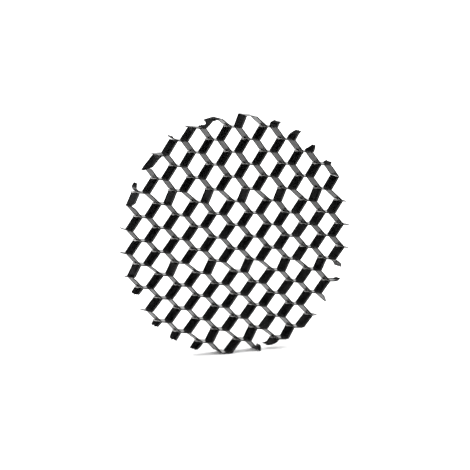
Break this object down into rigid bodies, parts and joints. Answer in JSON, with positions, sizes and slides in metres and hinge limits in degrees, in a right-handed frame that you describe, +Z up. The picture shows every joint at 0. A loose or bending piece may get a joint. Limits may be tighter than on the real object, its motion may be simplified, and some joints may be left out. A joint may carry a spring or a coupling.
{
  "type": "honeycomb grid disc",
  "caption": "Thin round honeycomb grid of glued black foil strips that stops glare and stray light from a lamp.",
  "frame": {"origin": "centre of the circle that the disc is cut to, halfway through its thickness", "axes": "+Y along the cells from the front face to the back face, +Z up through the stacked strips, +X to the right along the strips as seen from the front"},
  "size_m": [0.0499, 0.004, 0.0494],
  "materials": {
    "black_foil": "thin aluminium foil with a glossy black coating on both faces",
    "glue": "thin dark film of set glue between two strips, seen only as a line at the ends of each glued flat"
  },
  "bodies": {
    "root": {"foil_strip_01": "black_foil", "foil_strip_02": "black_foil", "foil_strip_03": "black_foil", "foil_strip_04": "black_foil", "foil_strip_05": "black_foil", "foil_strip_06": "black_foil", "foil_strip_07": "black_foil", "foil_strip_08": "black_foil", "foil_strip_09": "black_foil", "foil_strip_10": "black_foil", "foil_strip_11": "black_foil", "foil_strip_12": "black_foil", "foil_strip_13": "black_foil", "foil_strip_14": "black_foil", "foil_strip_15": "black_foil", "foil_strip_16": "black_foil", "foil_strip_17": "black_foil", "foil_strip_18": "black_foil", "foil_strip_19": "black_foil", "foil_strip_20_a": "black_foil", "foil_strip_20_b": "black_foil"}
  },
  "joints": []
}
